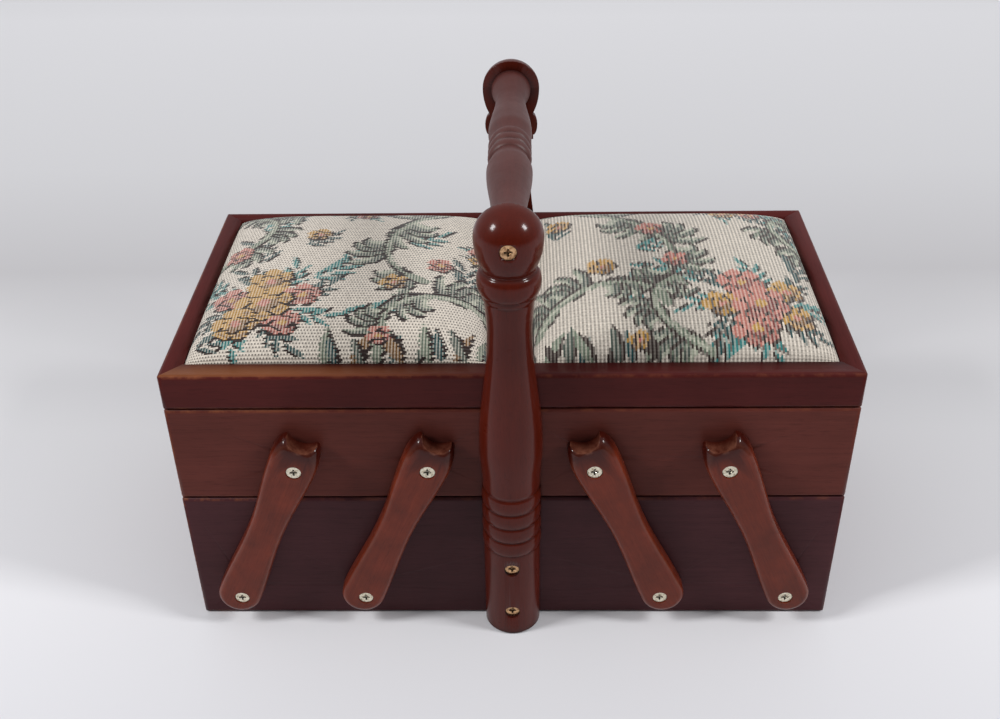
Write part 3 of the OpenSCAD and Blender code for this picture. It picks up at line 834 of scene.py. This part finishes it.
def swell(top, floor):
    """The top grid after a short cloth simulation with pressure under it."""
    verts, faces = closed_pad(top, floor)
    mesh = bpy.data.meshes.new("foam_trial")
    mesh.from_pydata(verts.tolist(), [], faces)
    trial = put("foam_trial", mesh)
    rows, columns = top.shape[:2]
    count = rows * columns
    ends = {*range(columns), *range(count - columns, count)}
    sides = {*range(0, count, columns), *range(columns - 1, count, columns)}
    held = sorted(ends | sides) + list(range(count, len(verts)))
    trial.vertex_groups.new(name="held").add(held, 1.0, "REPLACE")
    cloth = trial.modifiers.new("cloth", "CLOTH")
    for name, value in FOAM.items():
        setattr(cloth.settings, name, value)
    cloth.settings.effector_weights.gravity = 0.0
    scene = bpy.context.scene
    for number in range(1, SETTLE_FRAMES + 1):
        scene.frame_set(number)
    points = np.array([v.co[:] for v in evaluated(trial).data.vertices])
    moved = points[:count].reshape(rows, columns, 3)
    scene.frame_set(1)
    bpy.data.objects.remove(trial)
    return moved


# %% [markdown]
# The tapestry is drawn stitch by stitch, as a loom would: each cell of the pad's own grid is one
# stitch, about a millimetre wide, and has one colour. Curled fronds, sprays of narrow leaves and
# full blooms are old stock motifs of such cloth. A frond is a brush that runs along a curve, and
# a bloom is a scalloped ring. Each has a dark edge on its shadow side.

# %% Brushes for the tapestry
INK = "#2c1f1b"
SAGE = "#74826f"
SAGE_PALE = "#b3b8a4"
SAGE_DEEP = "#4b5950"
TEAL = "#2f8583"
TEAL_DEEP = "#164a4c"
ROSE = "#c4786a"
ROSE_DEEP = "#87433d"
OCHRE = "#c39443"
OCHRE_DEEP = "#7d5626"
CREAM = "#dbd1c3"
LOBES = 4
STEM_STEPS = 60


def brush(cloth, x, y, path, widths, code):
    """Paints along a path with a round brush of changing radius."""
    hit = np.zeros(x.shape, bool)
    for (px, py), wide in zip(path, widths):
        hit |= np.hypot(x - px, y - py) < wide
    cloth[hit] = tint(code)


def curl_path(start, heading, length, curl, steps=30):
    """A path that bends more and more towards its tip, its headings and its inner side."""
    k = (np.arange(steps) + 0.5) / steps
    bend = 0.3 + 1.7 * k**1.6
    angles = heading + curl * np.cumsum(bend) / bend.sum()
    along = np.stack([np.cos(angles), np.sin(angles)], 1) * length / steps
    inward = math.copysign(1, curl) * np.stack([-np.sin(angles), np.cos(angles)], 1)
    return np.array(start) + np.cumsum(along, 0), angles, inward


def frond(cloth, x, y, start, heading, length, curl, wide):
    """One curled lobe, dark along its outer side and pale along its inner side."""
    path, _, inward = curl_path(start, heading, length, curl)
    widths = wide * (0.35 + 0.85 * np.sin(math.pi * np.linspace(0, 1, len(path)) ** 0.7))
    brush(cloth, x, y, path - 0.9 * inward, widths + 0.7, INK)
    brush(cloth, x, y, path, widths, SAGE)
    brush(cloth, x, y, path - 0.45 * widths[:, None] * inward, widths * 0.45, SAGE_DEEP)
    brush(cloth, x, y, path + 0.5 * widths[:, None] * inward, widths * 0.42, SAGE_PALE)


def crest(cloth, x, y, at, angle, size, hand):
    """A fan of curled lobes, the longest behind."""
    for k in range(LOBES):
        share = k / (LOBES - 1)
        heading = angle + hand * (0.9 * share - 0.5)
        curl = hand * (1.6 + 0.9 * share)
        frond(cloth, x, y, at, heading, size * (1 - 0.5 * share), curl, size * 0.105)


def scroll(cloth, x, y, start, heading, length, curl, crests, size):
    """A scrolling stem with crests of lobes that curl off it."""
    path, angles, inward = curl_path(start, heading, length, curl, STEM_STEPS)
    hand = math.copysign(1, curl)
    for k in range(crests):
        t = (k + 0.35) / crests
        step = int(t * (STEM_STEPS - 1))
        side = hand if k % 3 == 2 else -hand
        crest(cloth, x, y, path[step], angles[step] + side * 0.5, size * (1.15 - 0.4 * t), side)
    widths = 2.8 - 1.5 * np.linspace(0, 1, STEM_STEPS)
    # The stem ends in a small bud
    widths[-5:] = 2.6
    brush(cloth, x, y, path - 0.8 * inward, widths + 0.7, INK)
    brush(cloth, x, y, path, widths, SAGE)
    brush(cloth, x, y, path[4:50], widths[4:50] * 0.4, SAGE_PALE)


# %% Leaves and blooms
ROSY = (ROSE, ROSE_DEEP, OCHRE)
GOLDEN = (OCHRE, OCHRE_DEEP, ROSE)


def leaf(cloth, x, y, at, angle, length, width, fill):
    """A narrow pointed leaf, dark along one side."""
    dx, dy = x - at[0], y - at[1]
    u = (dx * math.cos(angle) + dy * math.sin(angle)) / length
    v = -dx * math.sin(angle) + dy * math.cos(angle)
    half = width * np.sin(math.pi * np.clip(u, 0, 1) ** 0.8)
    inside = (u > 0) & (u < 1) & (np.abs(v) < half)
    cloth[inside] = tint(fill)
    cloth[inside & (v < -0.35 * half)] = tint(INK)


def beyond(at, angle, far):
    """The point at a distance from another."""
    return at[0] + far * math.cos(angle), at[1] + far * math.sin(angle)


def spray(cloth, x, y, at, angle, count, size, fill):
    """A bending twig with pairs of narrow leaves."""
    for k in range(count):
        for hand in (-1, 1):
            long, wide = size * (1 - 0.08 * k), size * 0.13
            leaf(cloth, x, y, at, angle + hand * 0.62, long, wide, fill)
        at = beyond(at, angle, size * 0.42)
        angle += 0.22
    leaf(cloth, x, y, at, angle, size, size * 0.14, fill)


def bloom(cloth, x, y, at, radius, petals, fills, turn):
    """A double rosette: scalloped petals, dark between them and below, round a heart."""
    outer, inner, heart = fills
    dx, dy = x - at[0], y - at[1]
    far = np.hypot(dx, dy) / radius
    angle = np.arctan2(dy, dx) - turn
    lobe = np.abs(np.cos(petals * angle / 2))
    below = 0.6 * dx - 0.8 * dy > 0
    edge = 0.72 + 0.28 * np.sqrt(lobe)
    cloth[far < edge] = tint(outer)
    cloth[(far < edge) & (lobe < 0.2)] = tint(INK)
    cloth[(far < edge) & (far > edge - 1.6 / radius) & below] = tint(INK)
    cloth[(far < 0.8 * edge) & (far > 0.62) & (lobe > 0.55) & below] = tint(inner)
    ring = 0.6 * (0.75 + 0.25 * np.abs(np.sin(petals * angle / 2)))
    inside = far < ring - 1.1 / radius
    cloth[far < ring] = tint(INK)
    cloth[inside] = tint(inner)
    cloth[inside & ~below & (far > 0.25)] = tint(outer)
    cloth[far < 0.2] = tint(heart)


def posy(cloth, x, y, at, size, turn, first, second):
    """A full bloom with smaller ones round it, on a bed of narrow leaves."""
    for k in range(8):
        angle = turn + k * math.pi / 4
        root = beyond(at, angle, 0.6 * size)
        spray(cloth, x, y, root, angle, 3, size * 0.55, TEAL if k % 2 else TEAL_DEEP)
    for k in range(5):
        angle = turn + k * 2 * math.pi / 5
        spot = beyond(at, angle, 0.75 * size)
        fills = first if k % 2 else second
        bloom(cloth, x, y, spot, size * (0.4 + 0.1 * (k % 2)), 5 + k % 2, fills, angle)
    bloom(cloth, x, y, at, size * 0.6, 7, first, turn)


def thicket(cloth, x, y, start, step, count, size, fills):
    """A row of upright leaves, as grass along the edge of the cloth."""
    for k in range(count):
        at = (start[0] + k * step[0], start[1] + k * step[1])
        lean = 0.45 * math.sin(2.4 * k)
        tall = size * (0.75 + 0.35 * math.sin(1.7 * k + 1) ** 2)
        leaf(cloth, x, y, at, math.pi / 2 + lean, tall, tall * 0.15, fills[k % len(fills)])


# %% [markdown]
# The two lids were cut from different places of one cloth. Each panel is a list of motifs, later
# ones over earlier ones. Places are in millimetres from its front left corner.

# %% Panels
LEFT_PANEL = (
    (thicket, (78, -2), (6.5, 0.4), 15, 26, (SAGE, TEAL_DEEP, OCHRE_DEEP, SAGE_DEEP)),
    (spray, (66, 66), 0.5, 4, 17, TEAL),
    (spray, (34, 86), 1.6, 4, 16, TEAL_DEEP),
    (spray, (84, 34), -0.1, 4, 16, TEAL),
    (spray, (14, 60), 2.0, 3, 15, TEAL),
    (spray, (112, 106), 0.2, 3, 15, TEAL),
    (spray, (26, 128), 0.3, 4, 15, TEAL),
    (spray, (146, 62), 1.4, 3, 15, TEAL_DEEP),
    (spray, (90, 170), -0.6, 3, 15, TEAL),
    (spray, (10, 14), 0.2, 4, 15, TEAL_DEEP),
    (spray, (56, 104), 0.4, 3, 13, TEAL_DEEP),
    (scroll, (170, 172), 3.5, 150, 2.4, 5, 38),
    (scroll, (176, 26), 2.3, 100, 2.9, 4, 32),
    (scroll, (0, 178), -0.9, 84, 2.3, 3, 30),
    (scroll, (4, 92), 0.5, 74, 2.3, 3, 26),
    (posy, (42, 44), 27, 0.3, GOLDEN, ROSY),
    (posy, (86, 158), 14, 0.9, ROSY, GOLDEN),
    (posy, (158, 100), 11, 0.2, GOLDEN, ROSY),
    (bloom, (108, 62), 8, 5, GOLDEN, 0.6),
    (bloom, (132, 82), 8, 5, ROSY, 0.0),
    (bloom, (18, 100), 9, 6, ROSY, 0.4),
    (bloom, (62, 116), 8, 5, GOLDEN, 0.1),
    (bloom, (104, 18), 7, 5, ROSY, 0.9),
)
RIGHT_PANEL = (
    (thicket, (-2, -2), (6.5, 0.3), 12, 24, (SAGE_DEEP, TEAL_DEEP, SAGE, INK)),
    (spray, (96, 62), 2.2, 4, 17, TEAL),
    (spray, (150, 74), 1.3, 4, 16, TEAL_DEEP),
    (spray, (120, 22), 3.4, 4, 16, TEAL),
    (spray, (64, 96), 0.4, 3, 14, TEAL),
    (spray, (96, 160), 2.7, 4, 16, TEAL),
    (spray, (150, 150), 4.4, 4, 16, TEAL),
    (spray, (20, 116), 1.4, 3, 14, TEAL_DEEP),
    (spray, (52, 44), 0.9, 3, 14, TEAL),
    (spray, (160, 120), 2.6, 3, 14, TEAL_DEEP),
    (scroll, (-4, 164), -0.2, 165, -2.4, 6, 38),
    (scroll, (6, 20), 1.2, 100, -2.7, 4, 32),
    (scroll, (178, 100), 2.9, 70, -2.6, 3, 28),
    (scroll, (98, 6), 2.6, 76, -2.3, 3, 28),
    (posy, (124, 42), 27, 0.7, ROSY, GOLDEN),
    (posy, (128, 158), 18, 0.2, GOLDEN, ROSY),
    (bloom, (74, 122), 9, 5, ROSY, 0.5),
    (bloom, (44, 78), 9, 5, GOLDEN, 0.0),
    (bloom, (84, 84), 8, 5, ROSY, 0.8),
    (bloom, (22, 132), 8, 6, GOLDEN, 0.3),
    (bloom, (60, 14), 7, 5, GOLDEN, 0.3),
)

# %% [markdown]
# The weave decides how the drawing shows. On the left lid each pick floats over three ends, so
# outlines step in short dashes, fills turn into fine upright stripes, and the cream ground has
# small dark dots in a brick order. On the right lid pale ribs run from front to back over
# everything, and the colours come up between them.

# %% Weave
FLOAT = 3


def weave(rows, columns, motifs, ribbed, stitch, seed):
    """The colour of every stitch of one panel, as rows of linear colours."""
    pick, end = np.indices((rows, columns))
    wide, deep = (size / MM for size in stitch)
    # A figure's yarn floats over three stitches before it dives under
    if ribbed:
        x = (end + 0.5) * wide
        y = (FLOAT * ((pick + 2 * end) // FLOAT) - 2 * end + FLOAT / 2) * deep
    else:
        x = (FLOAT * ((end + 2 * pick) // FLOAT) - 2 * pick + FLOAT / 2) * wide
        y = (pick + 0.5) * deep
    cloth = np.empty((rows, columns, 3))
    cloth[:] = cream = np.array(tint(CREAM))
    for motif, *details in motifs:
        motif(cloth, x, y, *details)
    ground = np.all(cloth == cream, axis=2)
    ink = np.all(cloth == np.array(tint(INK)), axis=2)
    figure = ~ground & ~ink

    def pale(where, share):
        """Lets some of the cream yarn show through."""
        cloth[where] = (1 - share) * cloth[where] + share * cream

    if ribbed:
        # Cream lies on the ribs and is darker between them
        rib = end % 2 == 0
        cloth[ground & ~rib] *= 0.64
        cloth[ground & ~rib & (pick % 3 == 0)] *= 0.7
        pale(figure & rib, 0.38)
        cloth[figure & ~rib] *= 0.8
        pale(ink & rib, 0.2)
    else:
        dots = (pick % 2 == 0) & ((end + pick // 2) % 2 == 0)
        cloth[ground & dots] *= 0.3
        pale(figure & (end % 2 == 0), 0.45)
        cloth[figure & (end % 2 == 1)] *= 0.7
    # No two stitches catch the light in quite the same way
    rng = np.random.default_rng(seed)
    cloth *= rng.uniform(0.84, 1.1, (rows, columns, 1))
    return np.clip(cloth, 0, 1)


# %% [markdown]
# The fabric's material reads the stitch colours from the mesh. Real yarn is matt and a little
# fuzzy, so it gets a high roughness and some sheen. The ribs are a bump with one wave to two
# stitches.

# %% Tapestry material
def tapestry(name, ribbed, stitch):
    material, tree, shader = blank(name)
    place = add(tree, "ShaderNodeUVMap", uv_map="weave")
    parts = add(tree, "ShaderNodeSeparateXYZ", (place,)).outputs
    waves = []
    for axis in (0, 1):
        phase = product(tree, parts[axis], math.pi / stitch[axis])
        waves.append(add(tree, "ShaderNodeMath", (phase,), operation="SINE"))
    strong, weak = waves if ribbed else reversed(waves)
    height = add(tree, "ShaderNodeMath", (weak, 0.45, strong), operation="MULTIPLY_ADD")
    look = {
        "Base Color": add(tree, "ShaderNodeAttribute", attribute_name="stitch").outputs["Color"],
        "Roughness": 0.88,
        "Sheen Weight": 0.25,
        "Sheen Roughness": 0.5,
        "Specular IOR Level": 0.25,
        "Normal": bumped(tree, height, 0.55, 0.25 * MM),
    }
    feed(tree, shader, look)
    return material


# %% Form of a pad
CROWN = 15.0 * MM
TUCK = 1.5 * MM
# The sheet starts at this share of the crown and swells beyond it
SLACK = 0.9


def crowned(low, high, rim, columns, rows):
    """The crowned top as a grid of points that are evenly spaced along the surface."""
    half_x, half_y, rise = (high.x - low.x) / 2, (high.y - low.y) / 2, CROWN + TUCK
    s, _ = even_places(columns, half_x, rise)
    t, _ = even_places(rows, half_y, rise)
    grid_t, grid_s = np.meshgrid(t, s, indexing="ij")
    height = rim + rise * bulge(grid_s) * bulge(grid_t)
    return np.stack([(low.x + high.x) / 2 + grid_s * half_x, grid_t * half_y, height], -1)


def pad_top(low, high, rim, columns, rows):
    """The settled top with a point at each corner of a stitch, its rim just below the rails."""
    slack = crowned(low, high, rim, COARSE, COARSE)
    slack[..., 2] = rim + (slack[..., 2] - rim) * SLACK
    moved = swell(slack, low.z)
    swollen = moved[..., 2].max() - rim
    moved[..., 2] = rim + (moved[..., 2] - rim) * (CROWN + TUCK) / swollen
    flat_low, flat_high = np.array(low.xy), np.array(high.xy)
    moved[..., :2] = np.clip(moved[..., :2], flat_low, flat_high)
    across, down = spline_weights(COARSE, columns), spline_weights(COARSE, rows)
    top = np.einsum("rk,klc,sl->rsc", down, moved, across)
    top[..., :2] = np.clip(top[..., :2], flat_low, flat_high)
    before = SLACK * (CROWN + TUCK)
    print("pad swelled from", round(before / MM, 1), "to", round(swollen / MM, 1), "mm")
    return top


# %% Stitches on a pad
def lay_stitches(mesh, stitches, stitch, corner):
    """Gives every stitch its colour and every point its place in the weave."""
    rows, columns = stitches.shape[:2]
    colours = np.ones((len(mesh.loops), 4))
    colours[:, :3] = tint(CREAM)
    rim = np.concatenate([stitches[0, :], stitches[:, -1], stitches[-1, ::-1], stitches[::-1, 0]])
    stitched = np.repeat(np.concatenate([stitches.reshape(-1, 3), rim]), 4, axis=0)
    colours[: len(stitched), :3] = stitched
    layer = mesh.color_attributes.new("stitch", "FLOAT_COLOR", "CORNER")
    layer.data.foreach_set("color", colours.ravel())
    place = np.array([v.co[:2] for v in mesh.vertices]) - corner
    down, across = np.indices((rows + 1, columns + 1))
    place[: down.size] = np.stack([across.ravel() * stitch[0], down.ravel() * stitch[1]], -1)
    loop_verts = np.empty(len(mesh.loops), dtype=int)
    mesh.loops.foreach_get("vertex_index", loop_verts)
    mesh.uv_layers.new(name="weave").data.foreach_set("uv", place[loop_verts].ravel())


# %% Padded lids
fabric = {
    "left": ("dotted_tapestry", LEFT_PANEL, False, (0.80 * MM, 1.05 * MM), 11),
    "right": ("ribbed_tapestry", RIGHT_PANEL, True, (1.0 * MM, 0.90 * MM), 12),
}
for side, (cloth_name, motifs, ribbed, stitch, seed) in fabric.items():
    low, high = (Vector(c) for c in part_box(f"{side}_lid_padding"))
    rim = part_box(f"{side}_lid_front_rail")[1][2] - TUCK
    half_sizes = [(b - a) / 2 for a, b in zip(low.xy, high.xy)]
    lengths = [even_places(2, half, CROWN + TUCK)[1] for half in half_sizes]
    columns, rows = (round(length / size) + 1 for length, size in zip(lengths, stitch))
    verts, faces = closed_pad(pad_top(low, high, rim, columns, rows), low.z)
    mesh = bpy.data.meshes.new(f"{side}_tapestry_pad")
    mesh.from_pydata(verts.tolist(), [], faces)
    stitches = weave(rows - 1, columns - 1, motifs, ribbed, stitch, seed)
    lay_stitches(mesh, stitches, stitch, np.array(low.xy))
    for face in mesh.polygons:
        face.use_smooth = face.index < (rows - 1) * (columns - 1)
    mesh.materials.append(tapestry(cloth_name, ribbed, stitch))
    pad = show(mesh, f"{side}_tapestry_pad", f"{side}_lid_padding")
    print(side, "pad:", columns - 1, "by", rows - 1, "stitches")

# %% [markdown]
# The studio is a pale sweep of paper between two soft boxes, one to each side and a little in
# front. They give round lacquered wood its pair of soft highlights. The room behind the camera
# is darker than the sweep, which is why the polished ball looks deep red and not grey.

# %% Floor
# Tones of the paper at these depths in metres. They are painted light and shade: the greyest band
# behind the box is painted shadow, and the paler band under and just in front of the box is
# painted light that lifts the box's own shadow
PAPER_LIGHT_AND_SHADE = (
    (-0.25, "#d5d5d9"),
    (-0.08, "#e5e5e8"),
    (0.08, "#e2e2e4"),
    (0.3, "#c3c2c4"),
    (0.5, "#d9d9db"),
    (0.95, "#f5f5f7"),
)


def paper():
    material, tree, shader = blank("backdrop_paper_painted_light_and_shade")
    spot = add(tree, "ShaderNodeTexCoord").outputs["Object"]
    depth = add(tree, "ShaderNodeSeparateXYZ", (spot,)).outputs[1]
    near, far = PAPER_LIGHT_AND_SHADE[0][0], PAPER_LIGHT_AND_SHADE[-1][0]
    # The ramp paints light and shade into the paper by depth
    painted_bands = add(tree, "ShaderNodeValToRGB", (mapped(tree, depth, near, far, 0.0, 1.0),))
    ramp = painted_bands.color_ramp
    ramp.elements[0].color = rgba(PAPER_LIGHT_AND_SHADE[0][1])
    ramp.elements[1].color = rgba(PAPER_LIGHT_AND_SHADE[-1][1])
    for place, code in PAPER_LIGHT_AND_SHADE[1:-1]:
        ramp.elements.new((place - near) / (far - near)).color = rgba(code)
    feed(tree, shader, {"Base Color": painted_bands, "Roughness": 0.8, "Specular IOR Level": 0.1})
    return material


REACH = 4.0
corners = [(-REACH, -REACH, 0), (REACH, -REACH, 0), (REACH, REACH, 0), (-REACH, REACH, 0)]
floor_mesh = bpy.data.meshes.new("paper_sweep")
floor_mesh.from_pydata(corners, [], [(0, 1, 2, 3)])
floor_mesh.materials.append(paper())
floor = put("paper_sweep", floor_mesh)
# A hair below the base, so that no two faces lie in one plane
floor.location.z = -0.3 * MM


# %% Soft boxes and room
def soft_box(name, place, size, power):
    light = bpy.data.lights.new(name, "AREA")
    light.shape = "RECTANGLE"
    light.size, light.size_y = size
    light.energy = power
    lamp = put(name, light)
    lamp.location = place
    aim = Vector((0, 0, 0.12)) - Vector(place)
    lamp.rotation_euler = aim.to_track_quat("-Z", "Y").to_euler()


def room():
    """A world that is darker towards the photographer and pale for the camera."""
    world = bpy.data.worlds.new("bright_room")
    world.use_nodes = True
    tree = world.node_tree
    # The bright side is behind the box and above it
    toward = add(tree, "ShaderNodeTexCoord").outputs["Generated"]
    lit = add(tree, "ShaderNodeVectorMath", (toward, (0.0, 0.75, 0.6)), operation="DOT_PRODUCT")
    strength = mapped(tree, lit.outputs["Value"], -0.5, 0.5, 0.06, 0.64)
    seen = add(tree, "ShaderNodeLightPath").outputs["Is Camera Ray"]
    shown = add(tree, "ShaderNodeMix", {0: seen, 2: strength, 3: 0.8}, data_type="FLOAT")
    feed(tree, tree.nodes["Background"], {"Color": rgba("#f4f4f8"), "Strength": shown})
    return world


soft_box("left_soft_box", (-1.28, -0.52, 1.34), (0.36, 0.44), 17.0)
soft_box("right_soft_box", (1.33, -0.45, 1.29), (0.32, 0.42), 15.0)
bpy.context.scene.world = room()
bpy.context.scene.view_settings.view_transform = "Standard"
